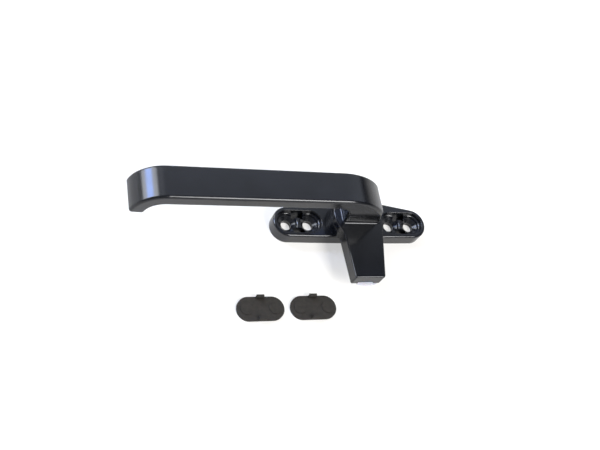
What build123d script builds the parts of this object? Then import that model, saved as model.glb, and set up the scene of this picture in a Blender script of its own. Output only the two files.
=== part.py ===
from build123d import *
import os
from math import asin, atan2, cos, hypot, pi, radians, sin, sqrt, tan

# Window lock handle of the cockspur kind, in millimetres.
# The origin is on the mounting face, on the axis that the lever turns about.
# +X runs along the base plate, -X towards the end of the grip, -Y towards the nose,
# and +Z stands out of the mounting face.

# Base plate, whose length follows from the outer holes and the wall beyond the pockets
plate_end_wall = 1.75
plate_end_radius = 7.75
plate_thickness = 7.0
plate_crown_radius = 13.7
plate_near_bow = 0.25
plate_edge_round = 0.9
plate_back_edge = 0.3

# Round boss that the lever's hub turns on
boss_radius = 12.25
boss_height = 4.0
boss_edge_round = 0.6

# Fixing holes, in two pairs, and the pockets that hide the screw heads
outer_hole_spacing = 65.0
inner_hole_spacing = 43.0
screw_hole_radius = 2.5
screw_land = 2.7
countersink_radius = 4.1
well_radius = 4.5
well_edge_round = 1.0
well_edge_turn = 75.0
pocket_radius = 5.75
cover_seat_depth = 1.6
pocket_rim_round = 0.3
hole_back_chamfer = 0.5
clip_notch_width = 6.0
clip_notch_depth = 3.25
clip_notch_floor = 1.5

# Snap-in screw covers, which lie beside the handle with their clips up
cover_clearance = 0.15
cover_top_gap = 0.1
cover_edge_round = 0.4
cover_stud_radius = 2.7
cover_stud_height = 0.4
cover_stud_offset = 6.7
clip_width = 3.5
clip_thickness = 1.2
clip_height = 2.2
clip_bead = 0.3
cover_pair_x = -37.7
cover_pair_y = -40.9
cover_pair_spacing = 25.2

# Grip strap
strap_width = 15.5
strap_thickness = 6.5
strap_top = 39.6
strap_edge_round = 1.2
grip_tip_x = -95.5
grip_tip_radius = 14.65
grip_tip_turn = 85.0
grip_tip_corner = 1.4

# Shoulder where the strap turns down into the leg
shoulder_x = -16.3
shoulder_radius = 28.0
shoulder_turn = 46.0
shoulder_corner_radius = 3.6

# Leg between the strap and the hub
leg_right_foot_x = 10.3
leg_left_foot_x = -8.3
leg_left_lean = 17.0
leg_inner_radius = 7.0
leg_foot_width = 8.4
flank_radius = 30.0
leg_foot_round = 0.7
leg_sink = 1.0

# Hub and nose
hub_radius = 12.4
hub_gap = 0.25
hub_thickness = 3.65
hub_edge_round = 0.6
nose_reach = 32.4
nose_thickness = 6.8
nose_right_half_width = 7.2
nose_left_half_width = 7.8
nose_left_taper = 2.9
nose_root_radius = 10.0
nose_right_corner = 1.3
nose_left_corner = 0.8
nose_boss_clearance = 0.4
nose_low_round = 0.4

# Nylon pad pushed into a slot under the end of the nose
pad_left_x = -4.6
pad_slot_width = 7.5
pad_slot_depth = 1.4
pad_slot_length = 14.0
pad_fit = 0.05
pad_shoe_width = 10.1
pad_shoe_thickness = 0.8
pad_stand_out = 1.05
pad_side_stand_out = 0.15
pad_edge_round = 0.3

# Spindle under the hub and its flanged bush
spindle_radius = 4.0
running_clearance = 0.05
bush_wall = 1.15
bush_flange_radius = 9.0
bush_flange_thickness = 0.8
bush_flange_sink = 0.6
bush_flange_clearance = 0.1

# Recess in the back, with what holds the lever on
recess_radius = 6.5
recess_depth = 4.6
washer_clearance = 0.3
washer_bore_clearance = 0.15
thrust_washer_thickness = 0.75
wave_washer_thickness = 0.35
wave_height = 0.3
wave_count = 3
stack_gap = 0.05
stop_plate_thickness = 1.1
stop_ear_radius = 9.6
stop_ear_width = 4.4
stop_ear_clearance = 0.2
stop_slot_clearance = 0.3
stop_ear_angle = 135.0
lever_swing = 90.0
tenon_flats = 5.6
tenon_short = 0.1
key_clearance = 0.05
lock_washer_thickness = 0.6
lock_washer_radius = 3.4
lock_washer_split = 0.6
lock_washer_clearance = 0.05
thread_radius = 2.0
screw_shank_clearance = 0.05
screw_head_radius = 3.5
screw_head_height = 1.25
screw_length = 7.0
screw_cross_width = 0.9
screw_cross_length = 4.2
screw_cross_depth = 0.7
thread_runout = 0.8

# How far joined forms run into each other, and how far a cut runs past the surface
lap = 0.5
past = 1.0

# Heights and places that follow from the sizes above
plate_length = outer_hole_spacing + 2 * (pocket_radius + plate_end_wall)
end_x = plate_length / 2 - plate_end_radius
boss_top = plate_thickness + boss_height
hub_low = boss_top + hub_gap
hub_top = hub_low + hub_thickness
nose_low = hub_top - nose_thickness
strap_low = strap_top - strap_thickness
half_strap = strap_width / 2
hole_pitch = (outer_hole_spacing - inner_hole_spacing) / 2
pocket_x = (outer_hole_spacing + inner_hole_spacing) / 4
seat_z = plate_thickness - cover_seat_depth
bush_radius = spindle_radius + running_clearance + bush_wall
washer_radius = recess_radius - washer_clearance
washer_bore = spindle_radius + washer_bore_clearance
thrust_washer_low = recess_depth - thrust_washer_thickness
wave_low = thrust_washer_low - wave_washer_thickness - wave_height
stop_plate_top = wave_low - stack_gap
stop_plate_low = stop_plate_top - stop_plate_thickness
lock_washer_low = stop_plate_low - lock_washer_thickness
screw_head_low = lock_washer_low - screw_head_height


def disc(radius, low, high, x=0.0, y=0.0):
    """A round disc between two heights."""
    blank = Cylinder(radius, high - low, align=(Align.CENTER, Align.CENTER, Align.MIN))
    return Pos(x, y, low) * blank


def block(x0, x1, y0, y1, z0, z1):
    """A plain block between two corners."""
    blank = Box(x1 - x0, y1 - y0, z1 - z0, align=Align.MIN)
    return Pos(x0, y0, z0) * blank


def upright(face, low, high):
    """A flat shape raised between two heights."""
    return Pos(0, 0, low) * extrude(face, amount=high - low)


def obround(radius, pitch, low, high, x=0.0, y=0.0):
    """A long round-ended block along X, with its end centres a pitch apart."""
    middle = block(x - pitch / 2, x + pitch / 2, y - radius, y + radius, low, high)
    ends = [disc(radius, low, high, x + side * pitch / 2, y) for side in (-1, 1)]
    return middle + ends[0] + ends[1]


def touch_point(start, centre, radius, side):
    """Where a straight line from a point touches a circle, on its left (1) or right (-1) side."""
    gap_x = centre[0] - start[0]
    gap_y = centre[1] - start[1]
    distance = hypot(gap_x, gap_y)
    angle = atan2(gap_y, gap_x) + side * asin(radius / distance)
    length = sqrt(distance**2 - radius**2)
    return (start[0] + length * cos(angle), start[1] + length * sin(angle))


def edges_at(shape, height, reach=None):
    """Edges that lie flat at one height, and within a reach of the axis if one is given."""
    flat = [e for e in shape.edges() if max(abs(p.Z - height) for p in (e @ 0, e @ 0.5, e @ 1)) < 1e-4]
    if reach is None:
        return flat
    return [e for e in flat if max(Vector(p.X, p.Y).length for p in (e @ 0, e @ 0.5, e @ 1)) < reach]


def plate_outline():
    """The plate seen from above: round ends, an almost straight near side, a crown at the far side."""
    slant = asin((plate_crown_radius - plate_end_radius) / end_x)
    far_end_x = end_x + plate_end_radius * sin(slant)
    far_end_y = plate_end_radius * cos(slant)
    crown_x = plate_crown_radius * sin(slant)
    crown_y = plate_crown_radius * cos(slant)
    near_y = -plate_end_radius
    with BuildSketch() as outline:
        with BuildLine():
            ThreePointArc((-end_x, near_y), (0, near_y - plate_near_bow), (end_x, near_y))
            ThreePointArc((end_x, near_y), (end_x + plate_end_radius, 0), (far_end_x, far_end_y))
            Line((far_end_x, far_end_y), (crown_x, crown_y))
            ThreePointArc((crown_x, crown_y), (0, plate_crown_radius), (-crown_x, crown_y))
            Line((-crown_x, crown_y), (-far_end_x, far_end_y))
            ThreePointArc((-far_end_x, far_end_y), (-end_x - plate_end_radius, 0), (-end_x, near_y))
        make_face()
    return outline.sketch


def screw_well(x):
    """What is cut away for one screw: hole, countersink and a well whose upper edge is rounded."""
    countersink_top = screw_land + countersink_radius - screw_hole_radius
    turn = radians(well_edge_turn)
    round_low = seat_z - well_edge_round * sin(turn)
    round_end = well_radius + well_edge_round * (1 - cos(turn))
    middle = (
        well_radius + well_edge_round * (1 - cos(turn / 2)),
        round_low + well_edge_round * sin(turn / 2),
    )
    flare_rise = (pocket_radius - round_end) / 2 / tan(turn)
    with BuildSketch(Plane.XZ) as profile:
        with BuildLine():
            Polyline(
                (0, seat_z + lap),
                (0, -past),
                (screw_hole_radius + hole_back_chamfer, -past),
                (screw_hole_radius + hole_back_chamfer, 0),
                (screw_hole_radius, hole_back_chamfer),
                (screw_hole_radius, screw_land),
                (countersink_radius, countersink_top),
                (well_radius, countersink_top),
                (well_radius, round_low),
            )
            ThreePointArc((well_radius, round_low), middle, (round_end, seat_z))
            Polyline(
                (round_end, seat_z),
                ((round_end + pocket_radius) / 2, seat_z + flare_rise),
                ((round_end + pocket_radius) / 2, seat_z + lap),
                (0, seat_z + lap),
            )
        make_face()
    return Pos(x, 0, 0) * revolve(profile.sketch, Axis.Z)


def screw_pocket(x):
    """What is cut away for one pair of screws: cover seat, two countersunk wells, clip notches."""
    cut = obround(pocket_radius, hole_pitch, seat_z, plate_thickness + past, x)
    half_notch = clip_notch_width / 2
    for side in (-1, 1):
        cut = cut + screw_well(x + side * hole_pitch / 2)
        near = min(side * pocket_radius, side * (pocket_radius - clip_notch_depth))
        cut = cut + block(
            x - half_notch, x + half_notch, near, near + clip_notch_depth, clip_notch_floor, seat_z + lap
        )
    return cut


def stop_slot():
    """The quarter-turn slot in the back that the ear of the stop plate runs in."""
    top = stop_plate_top + stop_slot_clearance
    outer = stop_ear_radius + stop_slot_clearance
    half_ear = stop_ear_width / 2 + stop_ear_clearance
    last_angle = stop_ear_angle - lever_swing
    slot = Pos(0, 0, -past) * Rot(0, 0, last_angle) * Cylinder(
        outer, top + past, arc_size=lever_swing, align=(Align.NONE, Align.NONE, Align.MIN)
    )
    for angle in (stop_ear_angle, last_angle):
        end = block(0, outer, -half_ear, half_ear, -past, top) & disc(outer, -past, top)
        slot = slot + Rot(0, 0, angle) * end
    return slot


def make_base_plate():
    """Die-cast base: plate, pockets, boss, bore and the recess in its back."""
    plate = upright(plate_outline(), 0, plate_thickness)
    plate = fillet(edges_at(plate, plate_thickness), plate_edge_round)
    plate = chamfer(edges_at(plate, 0), plate_back_edge)
    boss = disc(boss_radius, plate_thickness, boss_top)
    boss = fillet(edges_at(boss, boss_top), boss_edge_round)
    body = plate + boss
    for side in (-1, 1):
        body = body - screw_pocket(side * pocket_x)
    body = fillet(
        [e for e in edges_at(body, plate_thickness) if abs((e @ 0.5).X) > boss_radius and inside_pocket(e)],
        pocket_rim_round,
    )
    body = body - disc(bush_radius, -past, boss_top + past)
    body = body - disc(bush_flange_radius + bush_flange_clearance, boss_top - bush_flange_sink, boss_top + past)
    body = body - disc(recess_radius, -past, recess_depth) - stop_slot()
    return body


def inside_pocket(edge):
    """True for an edge of a pocket's rim."""
    point = edge @ 0.5
    offset = abs(abs(point.X) - pocket_x)
    beyond = max(offset - hole_pitch / 2, 0.0)
    return Vector(beyond, point.Y).length < pocket_radius + 0.05


def make_screw_cover(x):
    """Moulded cover as it lies: outer face down, clips and two low studs up."""
    radius = pocket_radius - cover_clearance
    thickness = cover_seat_depth - cover_top_gap
    cap = obround(radius, hole_pitch, 0, thickness)
    cap = fillet(edges_at(cap, 0), cover_edge_round)
    for side in (-1, 1):
        cap = cap + disc(cover_stud_radius, thickness, thickness + cover_stud_height, side * cover_stud_offset)
        outer_y = side * radius
        inner_y = side * (radius - clip_thickness)
        clip = block(
            -clip_width / 2,
            clip_width / 2,
            min(outer_y, inner_y),
            max(outer_y, inner_y),
            thickness - lap,
            thickness + clip_height,
        )
        bead_z = thickness + clip_height - clip_bead
        bead = Pos(0, outer_y, bead_z) * Rot(0, 90, 0) * Cylinder(clip_bead, clip_width)
        cap = cap + clip + bead
    return Pos(cover_pair_x + x, cover_pair_y, 0) * cap


def lever_profile():
    """Side view of strap, hooked tip, shoulder and leg, in the XZ plane."""
    tip_z = strap_top - grip_tip_radius
    inner_tip_radius = grip_tip_radius - strap_thickness
    turn = radians(grip_tip_turn)
    tip_out = (grip_tip_x - grip_tip_radius * sin(turn), tip_z + grip_tip_radius * cos(turn))
    tip_in = (grip_tip_x - inner_tip_radius * sin(turn), tip_z + inner_tip_radius * cos(turn))
    half = turn / 2
    tip_out_mid = (grip_tip_x - grip_tip_radius * sin(half), tip_z + grip_tip_radius * cos(half))
    tip_in_mid = (grip_tip_x - inner_tip_radius * sin(half), tip_z + inner_tip_radius * cos(half))
    # Outer side of the shoulder: a wide arc, then a tight one, then the leaning wall
    first = radians(shoulder_turn)
    shoulder_z = strap_top - shoulder_radius
    arc_mid = (shoulder_x + shoulder_radius * sin(first / 2), shoulder_z + shoulder_radius * cos(first / 2))
    arc_end = (shoulder_x + shoulder_radius * sin(first), shoulder_z + shoulder_radius * cos(first))
    corner_x = arc_end[0] - shoulder_corner_radius * sin(first)
    corner_z = arc_end[1] - shoulder_corner_radius * cos(first)
    foot = (leg_right_foot_x, hub_top)
    corner_end = touch_point(foot, (corner_x, corner_z), shoulder_corner_radius, -1)
    last = atan2(corner_end[0] - corner_x, corner_end[1] - corner_z)
    between = (first + last) / 2
    corner_mid = (corner_x + shoulder_corner_radius * sin(between), corner_z + shoulder_corner_radius * cos(between))
    foot_z = hub_low + leg_sink
    wall_slope = (foot[0] - corner_end[0]) / (corner_end[1] - foot[1])
    foot_right = (foot[0] + (foot[1] - foot_z) * wall_slope, foot_z)
    # Inner side: leaning wall and a round corner up to the underside of the strap
    lean = radians(leg_left_lean)
    foot_left = (leg_left_foot_x + (hub_top - foot_z) * tan(lean), foot_z)
    corner_at = leg_left_foot_x - (strap_low - hub_top) * tan(lean)
    inner_turn = pi / 2 - lean
    inner_tangent = leg_inner_radius * tan(inner_turn / 2)
    under_x = corner_at - inner_tangent
    wall_top = (corner_at + inner_tangent * sin(lean), strap_low - inner_tangent * cos(lean))
    inner_mid_angle = inner_turn / 2
    inner_mid = (
        under_x + leg_inner_radius * sin(inner_mid_angle),
        strap_low - leg_inner_radius + leg_inner_radius * cos(inner_mid_angle),
    )
    with BuildSketch(Plane.XZ) as side:
        with BuildLine():
            Line((grip_tip_x, strap_top), (shoulder_x, strap_top))
            ThreePointArc((shoulder_x, strap_top), arc_mid, arc_end)
            ThreePointArc(arc_end, corner_mid, corner_end)
            Polyline(corner_end, foot_right, foot_left, wall_top)
            ThreePointArc(wall_top, inner_mid, (under_x, strap_low))
            Line((under_x, strap_low), (grip_tip_x, strap_low))
            ThreePointArc((grip_tip_x, strap_low), tip_in_mid, tip_in)
            Line(tip_in, tip_out)
            ThreePointArc(tip_out, tip_out_mid, (grip_tip_x, strap_top))
        make_face()
        tip_corners = [v for v in side.vertices() if v.X < grip_tip_x - 1]
        fillet(tip_corners, grip_tip_corner)
    return side.sketch


def flank_cut():
    """What is taken off one side of the leg, so that it narrows from the strap to its foot."""
    half_foot = leg_foot_width / 2
    # The flank leaves the strap's side upright, bends inwards, and runs straight to the foot
    centre = (half_strap - flank_radius, strap_low)
    bend_y, bend_z = touch_point((half_foot, hub_top), centre, flank_radius, -1)
    lean = atan2(centre[1] - bend_z, bend_y - centre[0])
    mid_y = half_strap - flank_radius * (1 - cos(lean / 2))
    mid_z = strap_low - flank_radius * sin(lean / 2)
    low_z = hub_low
    low_y = half_foot - (hub_top - low_z) * tan(lean)
    outside = strap_width
    with BuildSketch(Plane.YZ) as cut:
        with BuildLine():
            ThreePointArc((half_strap, strap_low), (mid_y, mid_z), (bend_y, bend_z))
            Polyline((bend_y, bend_z), (low_y, low_z), (outside, low_z), (outside, strap_low), (half_strap, strap_low))
        make_face()
    reach = shoulder_radius + hub_radius
    return Pos(shoulder_x, 0, 0) * extrude(cut.sketch, amount=reach, both=True)


def make_grip():
    """Strap, hooked tip and leg of the lever, before it meets the hub."""
    grip = extrude(lever_profile(), amount=half_strap, both=True)
    cut = flank_cut()
    grip = grip - cut - mirror(cut, about=Plane.XZ)
    low = hub_low + leg_sink
    rims = [
        e for e in grip.edges()
        if abs(abs((e @ 0).Y) - abs((e @ 1).Y)) < strap_width / 2
        and (e @ 0).Y * (e @ 1).Y > 0
        and max((e @ 0).Z, (e @ 1).Z) > low + 0.01
    ]
    return fillet(rims, strap_edge_round)


def head_outline():
    """Hub and nose seen from above: the nose runs off the hub and narrows to its end."""
    right_end = (nose_right_half_width, -nose_reach)
    left_end = (-nose_left_half_width, -nose_reach)
    right_touch = touch_point(right_end, (0, 0), hub_radius, -1)
    # The left side runs straight up from the end and swings out onto the hub in a hollow arc
    taper = radians(nose_left_taper)
    along = Vector(-sin(taper), cos(taper))
    outward = Vector(-cos(taper), -sin(taper))
    offset = Vector(*left_end) + outward * nose_root_radius
    reach = offset.dot(along)
    run = -reach - sqrt(reach**2 - offset.dot(offset) + (hub_radius + nose_root_radius) ** 2)
    centre = offset + along * run
    root_low = centre - outward * nose_root_radius
    root_high = centre * (hub_radius / (hub_radius + nose_root_radius))
    inward = (root_low - centre).normalized() + (root_high - centre).normalized()
    root_mid = centre + inward.normalized() * nose_root_radius
    left_angle = atan2(root_high.Y, root_high.X) + 2 * pi
    far_angle = (left_angle + atan2(right_touch[1], right_touch[0])) / 2
    far_point = (hub_radius * cos(far_angle), hub_radius * sin(far_angle))
    with BuildSketch() as head:
        with BuildLine():
            Polyline(right_touch, right_end, left_end, root_low)
            ThreePointArc(root_low, root_mid, root_high)
            ThreePointArc(root_high, far_point, right_touch)
        make_face()
        fillet(head.vertices().sort_by(Axis.Y)[:2].sort_by(Axis.X)[-1], nose_right_corner)
        fillet(head.vertices().sort_by(Axis.X)[:4].sort_by(Axis.Y)[0], nose_left_corner)
    return head.sketch


def make_lever():
    """The lever as cast in one piece: grip, hub, nose and spindle."""
    head = upright(head_outline(), nose_low, hub_top)
    head = fillet(edges_at(head, hub_top), hub_edge_round)
    head = head - disc(boss_radius + nose_boss_clearance, nose_low - past, hub_low)
    low_edges = [e for e in edges_at(head, nose_low) if (e @ 0.5).Y < -boss_radius - past]
    head = fillet(low_edges, nose_low_round)
    lever = head + make_grip()
    foot_edges = [
        e for e in edges_at(lever, hub_top)
        if abs((e @ 0.5).Y) < leg_foot_width / 2 + lap and leg_left_foot_x - lap < (e @ 0.5).X < leg_right_foot_x + lap
    ]
    lever = fillet(foot_edges, leg_foot_round)
    lever = lever + disc(spindle_radius, stop_plate_top, hub_low + lap)
    tenon = disc(spindle_radius, stop_plate_low + tenon_short, stop_plate_top + lap)
    tenon = tenon & block(-spindle_radius, spindle_radius, -tenon_flats / 2, tenon_flats / 2, 0, boss_top)
    lever = lever + tenon
    lever = lever - disc(thread_radius, 0, screw_head_low + screw_head_height + screw_length + thread_runout)
    slot_end = -nose_reach + pad_slot_length
    slot_right = pad_left_x + pad_slot_width
    slot = block(pad_left_x, slot_right, -nose_reach - past, slot_end, nose_low - past, nose_low + pad_slot_depth)
    return lever - slot


def make_nose_pad():
    """Nylon pad: a tongue in the slot and a wider shoe under it that bears on the frame."""
    left = pad_left_x + pad_fit
    right = pad_left_x + pad_shoe_width
    side_y = -nose_reach - pad_side_stand_out
    front_y = -nose_reach - pad_stand_out
    back_y = -nose_reach + pad_slot_length - pad_fit
    low = nose_low - pad_shoe_thickness
    high = nose_low + pad_slot_depth - pad_fit
    with BuildSketch() as plan:
        with BuildLine():
            ThreePointArc((left, side_y), ((left + right) / 2, front_y), (right, side_y))
            Polyline((right, side_y), (right, back_y), (left, back_y), (left, side_y))
        make_face()
    shoe = upright(plan.sketch, low, nose_low)
    shoe = fillet(edges_at(shoe, low), pad_edge_round)
    tongue_right = pad_left_x + pad_slot_width - pad_fit
    tongue = upright(plan.sketch, nose_low - pad_edge_round, high)
    tongue = tongue & block(left, tongue_right, front_y - past, back_y, nose_low - pad_edge_round, high)
    return shoe + tongue


def make_pivot_bush():
    """Flanged acetal bush between the plate and the spindle."""
    flange_low = boss_top - bush_flange_sink
    sleeve = disc(bush_radius, recess_depth, flange_low + bush_flange_thickness / 2)
    flange = disc(bush_flange_radius, flange_low, flange_low + bush_flange_thickness)
    return sleeve + flange - disc(spindle_radius + running_clearance, 0, hub_top)


def make_thrust_washer():
    """Flat steel washer against the floor of the recess."""
    ring = disc(washer_radius, thrust_washer_low, recess_depth)
    return ring - disc(washer_bore, 0, boss_top)


def make_wave_washer():
    """Spring washer pressed into three low waves, which gives the lever its friction."""
    inner = washer_bore
    outer = washer_radius - washer_clearance
    middle_z = wave_low + (wave_washer_thickness + wave_height) / 2
    steps = 24 * wave_count
    rails = []
    for radius in (inner, outer):
        points = []
        for step in range(steps):
            turn = 2 * pi * step / steps
            points.append((radius * cos(turn), radius * sin(turn), middle_z + wave_height / 2 * cos(wave_count * turn)))
        rails.append(Spline(*points, periodic=True))
    sheet = Face.make_surface_from_curves(rails[0].edge(), rails[1].edge())
    return thicken(sheet, amount=wave_washer_thickness / 2, both=True).solid()


def make_stop_plate():
    """Keyed steel plate with an ear that meets the ends of the slot in the base."""
    ear = block(0, stop_ear_radius, -stop_ear_width / 2, stop_ear_width / 2, stop_plate_low, stop_plate_top)
    plate = disc(washer_radius, stop_plate_low, stop_plate_top) + Rot(0, 0, stop_ear_angle) * ear
    key = disc(spindle_radius + key_clearance, 0, boss_top)
    half_flats = tenon_flats / 2 + key_clearance
    key = key & block(-recess_radius, recess_radius, -half_flats, half_flats, 0, boss_top)
    return plate - key


def make_lock_washer():
    """Split spring washer under the screw's head."""
    bore = disc(thread_radius + lock_washer_clearance, 0, boss_top)
    ring = disc(lock_washer_radius, lock_washer_low, stop_plate_low) - bore
    return ring - block(0, recess_radius, -lock_washer_split / 2, lock_washer_split / 2, 0, boss_top)


def make_retaining_screw():
    """Pan-head screw up into the spindle, with a cross recess in its head."""
    head = disc(screw_head_radius, screw_head_low, lock_washer_low)
    head = fillet(edges_at(head, screw_head_low), screw_head_height / 2)
    shank_low = lock_washer_low - screw_head_height / 4
    shank = disc(thread_radius - screw_shank_clearance, shank_low, lock_washer_low + screw_length)
    screw = head + shank
    for turn in (0, 90):
        arm = block(
            -screw_cross_length / 2,
            screw_cross_length / 2,
            -screw_cross_width / 2,
            screw_cross_width / 2,
            screw_head_low - past,
            screw_head_low + screw_cross_depth,
        )
        screw = screw - Rot(0, 0, turn) * arm
    return screw


pieces = {
    "base_plate": make_base_plate(),
    "lever_handle": make_lever(),
    "nose_pad": make_nose_pad(),
    "pivot_bush": make_pivot_bush(),
    "thrust_washer": make_thrust_washer(),
    "wave_washer": make_wave_washer(),
    "stop_plate": make_stop_plate(),
    "lock_washer": make_lock_washer(),
    "retaining_screw": make_retaining_screw(),
    "screw_cover_left": make_screw_cover(-cover_pair_spacing / 2),
    "screw_cover_right": make_screw_cover(cover_pair_spacing / 2),
}
os.makedirs("parts", exist_ok=True)
for name, piece in pieces.items():
    export_step(piece, f"parts/{name}.step")
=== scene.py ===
from math import pi, radians

import bpy
from mathutils import Matrix, Vector

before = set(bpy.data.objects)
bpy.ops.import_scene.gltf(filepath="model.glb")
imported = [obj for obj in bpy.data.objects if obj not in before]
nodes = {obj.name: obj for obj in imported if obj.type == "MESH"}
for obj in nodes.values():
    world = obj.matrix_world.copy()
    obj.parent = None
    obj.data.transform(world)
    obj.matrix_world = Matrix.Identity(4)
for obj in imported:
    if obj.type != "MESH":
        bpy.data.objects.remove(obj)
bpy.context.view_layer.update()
bpy.ops.object.select_all(action="DESELECT")

# Base plate: a zinc alloy pressure die casting with two pockets for the screws and a boss for the lever.
# It is shot blasted so that the coat keys to it, then powder coated satin black and stoved.
# The coat is polyester powder, which melts and flows out with a faint orange peel.


def linear(hex_colour):
    """An sRGB hex colour as linear red, green, blue and an alpha of one."""
    parts = [int(hex_colour[place:place + 2], 16) / 255 for place in (1, 3, 5)]
    return [part / 12.92 if part <= 0.04045 else ((part + 0.055) / 1.055) ** 2.4 for part in parts] + [1.0]


def add_node(tree, kind, settings=None, links=None, stops=None):
    """Adds a node with its settings by name, what is linked into it, and a colour ramp's stops."""
    node = tree.nodes.new(kind)
    for name, value in (settings or {}).items():
        if isinstance(name, str) and hasattr(node, name):
            setattr(node, name, value)
        else:
            node.inputs[name].default_value = value
    for name, source in (links or {}).items():
        tree.links.new(source, node.inputs[name])
    if stops:
        for element, (position, colour) in zip(node.color_ramp.elements, stops):
            element.position = position
            element.color = linear(colour)
    return node


# Satin black polyester powder coat: the eye sees a near black with a cold cast, soft mirror highlights
# along every edge, and a slow ripple where the powder flowed out. The ripple of such a coat is 1 to 3 mm.
mm_per_metre = 1000
peel_spacing_mm = 1.8
peel_depth_mm = 0.0025
batch_spacing_mm = 14.0
sheen_spacing_mm = 6.0
coat_black = bpy.data.materials.new("satin black powder coat")
coat_black.use_nodes = True
tree = coat_black.node_tree
tree.nodes.clear()
place = add_node(tree, "ShaderNodeTexCoord").outputs["Object"]
batch = add_node(
    tree, "ShaderNodeTexNoise", {"Scale": mm_per_metre / batch_spacing_mm}, {"Vector": place}
)
tint = add_node(
    tree, "ShaderNodeValToRGB", None, {"Fac": batch.outputs["Fac"]}, [(0.35, "#0f1013"), (0.65, "#131418")]
)
sheen = add_node(
    tree, "ShaderNodeTexNoise", {"Scale": mm_per_metre / sheen_spacing_mm, "Detail": 3.0}, {"Vector": place}
)
gloss = add_node(
    tree,
    "ShaderNodeMapRange",
    {"From Min": 0.3, "From Max": 0.7, "To Min": 0.17, "To Max": 0.21},
    {"Value": sheen.outputs["Fac"]},
)
peel = add_node(
    tree, "ShaderNodeTexNoise", {"Scale": mm_per_metre / peel_spacing_mm, "Detail": 1.0}, {"Vector": place}
)
ripple = add_node(
    tree,
    "ShaderNodeBump",
    {"Strength": 1.0, "Distance": peel_depth_mm / mm_per_metre},
    {"Height": peel.outputs["Fac"]},
)
coat = add_node(
    tree,
    "ShaderNodeBsdfPrincipled",
    {"IOR": 1.45},
    {
        "Base Color": tint.outputs["Color"],
        "Roughness": gloss.outputs["Result"],
        "Normal": ripple.outputs["Normal"],
    },
)
add_node(tree, "ShaderNodeOutputMaterial", None, {"Surface": coat.outputs["BSDF"]})
nodes["base_plate"].material_slots[0].material = coat_black

# Lever handle: grip, leg, hub, nose and spindle are cast in one piece of the same zinc alloy.
# It is trimmed, blasted and coated with the plate, so it carries the same satin black.
nodes["lever_handle"].material_slots[0].material = coat_black

# Nose pad: moulded in natural nylon and pushed into the slot under the nose, where it slides on the frame.
# Natural nylon is milky white: a little light goes in and comes out again, and the moulded skin is smooth.
pad_nylon = bpy.data.materials.new("natural white nylon")
pad_nylon.use_nodes = True
tree = pad_nylon.node_tree
tree.nodes.clear()
milk_spacing_mm = 3.0
haze_spacing_mm = 0.8
place = add_node(tree, "ShaderNodeTexCoord").outputs["Object"]
cloud = add_node(
    tree, "ShaderNodeTexNoise", {"Scale": mm_per_metre / milk_spacing_mm}, {"Vector": place}
)
milk = add_node(
    tree, "ShaderNodeValToRGB", None, {"Fac": cloud.outputs["Fac"]}, [(0.35, "#cbcbd5"), (0.65, "#d5d5dd")]
)
skin = add_node(
    tree, "ShaderNodeTexNoise", {"Scale": mm_per_metre / haze_spacing_mm}, {"Vector": place}
)
haze = add_node(
    tree,
    "ShaderNodeMapRange",
    {"From Min": 0.3, "From Max": 0.7, "To Min": 0.38, "To Max": 0.46},
    {"Value": skin.outputs["Fac"]},
)
nylon = add_node(
    tree,
    "ShaderNodeBsdfPrincipled",
    {"IOR": 1.53, "Subsurface Weight": 0.15, "Subsurface Scale": 0.001},
    {"Base Color": milk.outputs["Color"], "Roughness": haze.outputs["Result"]},
)
add_node(tree, "ShaderNodeOutputMaterial", None, {"Surface": nylon.outputs["BSDF"]})
nodes["nose_pad"].material_slots[0].material = pad_nylon

# Pivot bush: turned from acetal rod and pressed through the boss, so that the spindle runs on plastic.
# Turned acetal is an opaque ivory white with tool rings round its axis. A real feed leaves rings of about
# 0.1 mm, drawn here at 0.4 mm because finer would not show.
bush_acetal = bpy.data.materials.new("turned acetal")
bush_acetal.use_nodes = True
tree = bush_acetal.node_tree
tree.nodes.clear()
ring_spacing_mm = 0.4
ring_depth_mm = 0.004
wave_spacing = pi / 10  # metres from ring to ring at a scale of one
place = add_node(tree, "ShaderNodeTexCoord").outputs["Object"]
rings = add_node(
    tree,
    "ShaderNodeTexWave",
    {
        "wave_type": "RINGS",
        "rings_direction": "Z",
        "Scale": wave_spacing * mm_per_metre / ring_spacing_mm,
        "Distortion": 0.3,
    },
    {"Vector": place},
)
ivory = add_node(
    tree, "ShaderNodeValToRGB", None, {"Fac": rings.outputs["Fac"]}, [(0.2, "#e4e2d8"), (0.8, "#ebe8df")]
)
grooves = add_node(
    tree,
    "ShaderNodeBump",
    {"Strength": 0.6, "Distance": ring_depth_mm / mm_per_metre},
    {"Height": rings.outputs["Fac"]},
)
acetal = add_node(
    tree,
    "ShaderNodeBsdfPrincipled",
    {"IOR": 1.48, "Roughness": 0.35},
    {"Base Color": ivory.outputs["Color"], "Normal": grooves.outputs["Normal"]},
)
add_node(tree, "ShaderNodeOutputMaterial", None, {"Surface": acetal.outputs["BSDF"]})
nodes["pivot_bush"].material_slots[0].material = bush_acetal

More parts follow.
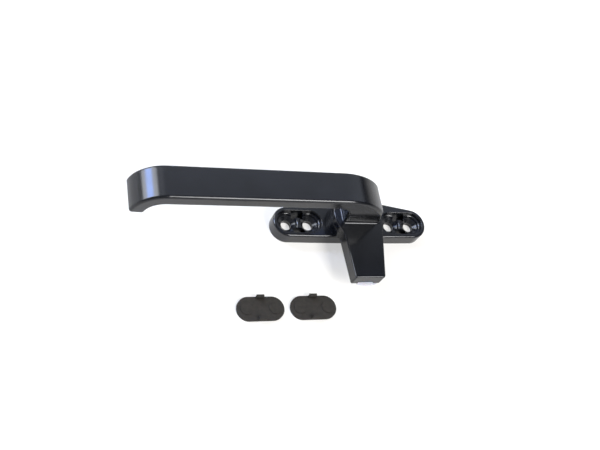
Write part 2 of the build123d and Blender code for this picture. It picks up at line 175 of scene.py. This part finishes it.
# Thrust washer, stop plate and retaining screw: pressed or headed from mild steel, then zinc plated.
# Bright zinc is a cool silver with a patchy passivate and fine rub marks from the plating barrel.
zinc_plate = bpy.data.materials.new("bright zinc plated steel")
zinc_plate.use_nodes = True
tree = zinc_plate.node_tree
tree.nodes.clear()
passivate_spacing_mm = 2.5
rub_spacing_mm = 0.5
place = add_node(tree, "ShaderNodeTexCoord").outputs["Object"]
patches = add_node(
    tree,
    "ShaderNodeTexNoise",
    {"Scale": mm_per_metre / passivate_spacing_mm, "Detail": 3.0},
    {"Vector": place},
)
silver = add_node(
    tree,
    "ShaderNodeValToRGB",
    None,
    {"Fac": patches.outputs["Fac"]},
    [(0.35, "#b4b9bd"), (0.65, "#c8c9c5")],
)
marks = add_node(
    tree, "ShaderNodeTexNoise", {"Scale": mm_per_metre / rub_spacing_mm, "Detail": 4.0}, {"Vector": place}
)
rub = add_node(
    tree,
    "ShaderNodeMapRange",
    {"From Min": 0.3, "From Max": 0.7, "To Min": 0.24, "To Max": 0.4},
    {"Value": marks.outputs["Fac"]},
)
zinc = add_node(
    tree,
    "ShaderNodeBsdfPrincipled",
    {"Metallic": 1.0},
    {"Base Color": silver.outputs["Color"], "Roughness": rub.outputs["Result"]},
)
add_node(tree, "ShaderNodeOutputMaterial", None, {"Surface": zinc.outputs["BSDF"]})
for name in ("thrust_washer", "stop_plate", "retaining_screw"):
    nodes[name].material_slots[0].material = zinc_plate

# Wave washer and lock washer: spring steel, hardened, tempered and left with a film of oil.
# It looks dark grey with a brownish temper and a dull wet sheen.
spring_steel = bpy.data.materials.new("oiled spring steel")
spring_steel.use_nodes = True
tree = spring_steel.node_tree
tree.nodes.clear()
temper_spacing_mm = 1.8
oil_spacing_mm = 0.9
place = add_node(tree, "ShaderNodeTexCoord").outputs["Object"]
heat = add_node(
    tree,
    "ShaderNodeTexNoise",
    {"Scale": mm_per_metre / temper_spacing_mm, "Detail": 3.0},
    {"Vector": place},
)
temper = add_node(
    tree, "ShaderNodeValToRGB", None, {"Fac": heat.outputs["Fac"]}, [(0.35, "#5c5a58"), (0.65, "#6f6a63")]
)
film = add_node(
    tree, "ShaderNodeTexNoise", {"Scale": mm_per_metre / oil_spacing_mm, "Detail": 3.0}, {"Vector": place}
)
oil = add_node(
    tree,
    "ShaderNodeMapRange",
    {"From Min": 0.3, "From Max": 0.7, "To Min": 0.28, "To Max": 0.45},
    {"Value": film.outputs["Fac"]},
)
steel = add_node(
    tree,
    "ShaderNodeBsdfPrincipled",
    {"Metallic": 1.0},
    {"Base Color": temper.outputs["Color"], "Roughness": oil.outputs["Result"]},
)
add_node(tree, "ShaderNodeOutputMaterial", None, {"Surface": steel.outputs["BSDF"]})
for name in ("wave_washer", "lock_washer"):
    nodes[name].material_slots[0].material = spring_steel

# Screw covers: moulded in dark grey nylon in a spark eroded tool, and snapped over the screws by clips.
# They lie beside the handle with their clips up, so the eye sees the matt inside of the moulding.
# The spark eroded grain is about 0.1 mm, drawn here at 0.35 mm because finer would not show.
cover_nylon = bpy.data.materials.new("matt dark grey nylon")
cover_nylon.use_nodes = True
tree = cover_nylon.node_tree
tree.nodes.clear()
grain_spacing_mm = 0.35
grain_depth_mm = 0.02
flow_spacing_mm = 1.6
place = add_node(tree, "ShaderNodeTexCoord").outputs["Object"]
flow = add_node(
    tree, "ShaderNodeTexNoise", {"Scale": mm_per_metre / flow_spacing_mm, "Detail": 4.0}, {"Vector": place}
)
grey = add_node(
    tree, "ShaderNodeValToRGB", None, {"Fac": flow.outputs["Fac"]}, [(0.35, "#211e19"), (0.65, "#292520")]
)
grain = add_node(
    tree, "ShaderNodeTexNoise", {"Scale": mm_per_metre / grain_spacing_mm}, {"Vector": place}
)
eroded = add_node(
    tree,
    "ShaderNodeBump",
    {"Strength": 0.6, "Distance": grain_depth_mm / mm_per_metre},
    {"Height": grain.outputs["Fac"]},
)
moulding = add_node(
    tree,
    "ShaderNodeBsdfPrincipled",
    {"IOR": 1.4, "Roughness": 0.75},
    {"Base Color": grey.outputs["Color"], "Normal": eroded.outputs["Normal"]},
)
add_node(tree, "ShaderNodeOutputMaterial", None, {"Surface": moulding.outputs["BSDF"]})
for name in ("screw_cover_left", "screw_cover_right"):
    nodes[name].material_slots[0].material = cover_nylon

# Studio floor: a wide sheet of white paper. The camera and the gloss of the coat see it as white, with a
# faint shadow where the handle stands, and all other light sees plain paper. Away from the lamps the paper
# glows brighter in their place. This is painted light: its glow rises from half white near the handle to
# full white.
floor_gap = 0.00005
floor_size = 30.0
white_share = 0.52
lit_reach = 0.5
unlit_reach = 2.0
bpy.ops.mesh.primitive_plane_add(size=floor_size, location=(0, 0, -floor_gap))
floor = bpy.context.object
floor.name = "floor"
paper = bpy.data.materials.new("white paper sweep")
paper.use_nodes = True
tree = paper.node_tree
tree.nodes.clear()
path = add_node(tree, "ShaderNodeLightPath").outputs
looked_at = add_node(
    tree,
    "ShaderNodeMath",
    {"operation": "MAXIMUM"},
    {0: path["Is Camera Ray"], 1: path["Is Glossy Ray"]},
)
seen = add_node(
    tree,
    "ShaderNodeMath",
    {"operation": "MAXIMUM"},
    {0: looked_at.outputs["Value"], 1: path["Is Transmission Ray"]},
)
place = add_node(tree, "ShaderNodeTexCoord").outputs["Object"]
away = add_node(tree, "ShaderNodeVectorMath", {"operation": "LENGTH"}, {0: place})
# Painted light: the paper's glow grows with distance from the handle, standing in for lamp light that falls
# off.
share = add_node(
    tree,
    "ShaderNodeMapRange",
    {"From Min": lit_reach, "From Max": unlit_reach, "To Min": white_share, "To Max": 1.0},
    {"Value": away.outputs["Value"]},
)
white = add_node(
    tree, "ShaderNodeEmission", {"Color": linear("#ffffff")}, {"Strength": share.outputs["Result"]}
)
shade = add_node(tree, "ShaderNodeBsdfDiffuse", {"Color": linear("#adaaa5")})
sweep = add_node(
    tree, "ShaderNodeAddShader", None, {0: white.outputs["Emission"], 1: shade.outputs["BSDF"]}
)
sheet = add_node(tree, "ShaderNodeBsdfDiffuse", {"Color": linear("#e6e6e6")})
both = add_node(
    tree,
    "ShaderNodeMixShader",
    None,
    {0: seen.outputs["Value"], 1: sheet.outputs["BSDF"], 2: sweep.outputs["Shader"]},
)
add_node(tree, "ShaderNodeOutputMaterial", None, {"Surface": both.outputs["Shader"]})
floor.data.materials.append(paper)

# Room: a plain pale studio, cold on the window side at the left and dimmer and warmer at the right.
# The white sweep rises behind the floor all round, and the camera and the gloss see it as white too.
air_level = 0.6
sweep_top = 0.1
sweep_fade = 0.3
room = bpy.data.worlds.new("pale studio")
bpy.context.scene.world = room
room.use_nodes = True
tree = room.node_tree
tree.nodes.clear()
towards = add_node(tree, "ShaderNodeTexCoord").outputs["Generated"]
sideways = add_node(tree, "ShaderNodeSeparateXYZ", None, {"Vector": towards})
across = add_node(
    tree,
    "ShaderNodeMapRange",
    {"From Min": -1.0, "From Max": 1.0, "To Min": 0.0, "To Max": 1.0},
    {"Value": sideways.outputs["X"]},
)
walls = add_node(
    tree,
    "ShaderNodeValToRGB",
    None,
    {"Fac": across.outputs["Result"]},
    [(0.15, "#cdd1d6"), (0.85, "#241e19")],
)
air = add_node(tree, "ShaderNodeBackground", {"Strength": air_level}, {"Color": walls.outputs["Color"]})
path = add_node(tree, "ShaderNodeLightPath").outputs
looked_at = add_node(
    tree,
    "ShaderNodeMath",
    {"operation": "MAXIMUM"},
    {0: path["Is Camera Ray"], 1: path["Is Glossy Ray"]},
)
seen = add_node(
    tree,
    "ShaderNodeMath",
    {"operation": "MAXIMUM"},
    {0: looked_at.outputs["Value"], 1: path["Is Transmission Ray"]},
)
low = add_node(
    tree,
    "ShaderNodeMapRange",
    {"From Min": sweep_top, "From Max": sweep_fade, "To Min": 1.0, "To Max": 0.0},
    {"Value": sideways.outputs["Z"]},
)
sweep_share = add_node(
    tree,
    "ShaderNodeMath",
    {"operation": "MULTIPLY"},
    {0: seen.outputs["Value"], 1: low.outputs["Result"]},
)
sweep = add_node(tree, "ShaderNodeBackground", {"Color": linear("#ffffff"), "Strength": 1.0})
both = add_node(
    tree,
    "ShaderNodeMixShader",
    None,
    {0: sweep_share.outputs["Value"], 1: air.outputs["Background"], 2: sweep.outputs["Background"]},
)
add_node(tree, "ShaderNodeOutputWorld", None, {"Surface": both.outputs["Shader"]})


# Softboxes: the bend of the grip mirrors a tall window box at the left, with a blue middle and a pale haze.
# A small box behind that one lights the end of the plate. The main box over the camera lights the near
# edges, and a wide weak one at the back lights the flat tops.
def softbox(name, aim, towards, along, length, width, radiance, colour, distance=1.2):
    """A soft rectangular lamp at a distance from what it is aimed at, its long side along a direction."""
    lamp = bpy.data.lights.new(name, "AREA")
    lamp.shape = "RECTANGLE"
    lamp.size = width
    lamp.size_y = length
    lamp.energy = radiance * pi * width * length
    lamp.color = linear(colour)[:3]
    holder = bpy.data.objects.new(name, lamp)
    bpy.context.scene.collection.objects.link(holder)
    back = Vector(towards).normalized()
    side = Vector(along).cross(back).normalized()
    turn = Matrix((side, back.cross(side), back)).transposed()
    holder.matrix_world = Matrix.Translation(Vector(aim) + back * distance) @ turn.to_4x4()


grip_bend = (-0.103, 0, 0.036)
handle_middle = (-0.03, 0, 0.02)
plate_end = (-0.038, 0, 0.006)
softbox("window haze", grip_bend, (-0.48, 0.46, 0.74), (-0.81, 0, -0.58), 1.4, 0.52, 0.6, "#f0f5ff", 1.3)
softbox("window box", grip_bend, (-0.66, 0.42, 0.61), (-0.68, 0, -0.73), 1.0, 0.5, 9.5, "#f2f7ff")
softbox(
    "window middle", grip_bend, (-0.655, 0.475, 0.595), (-0.68, 0, -0.73), 0.36, 0.24, 19.0, "#5a95ff", 1.1
)
softbox("rear window", plate_end, (-0.51, 0.745, 0.43), (-0.5, 0, -0.87), 0.6, 0.34, 12.0, "#f2f7ff")
softbox("main box", handle_middle, (0.37, -0.51, 0.78), (0, -0.83, -0.56), 1.6, 0.95, 16.5, "#ffffff", 2.5)
softbox("back box", handle_middle, (0.31, 0.66, 0.68), (0, -0.87, 0.5), 0.7, 1.6, 1.1, "#e6eefc")

# Camera: where the photograph was taken from, above the near left corner and rolled with the handle.
# Its lens and place were fitted to the corners and holes of the handle in the photograph.
photo_width_px = 600
lens_px = 800.7
view_turn = radians(40.606)
view_height = radians(55.371)
view_roll = radians(36.177)
view_point = (-0.1652, -0.1630, 0.3141)
eye = bpy.data.cameras.new("camera")
eye.sensor_fit = "HORIZONTAL"
eye.sensor_width = 36.0
eye.lens = eye.sensor_width * lens_px / photo_width_px
camera = bpy.data.objects.new("camera", eye)
bpy.context.scene.collection.objects.link(camera)
facing = Matrix.Rotation(-view_turn, 4, "Z") @ Matrix.Rotation(pi / 2 - view_height, 4, "X")
camera.matrix_world = Matrix.Translation(view_point) @ facing @ Matrix.Rotation(view_roll, 4, "Z")
bpy.context.scene.camera = camera
bpy.context.scene.view_settings.view_transform = "Standard"
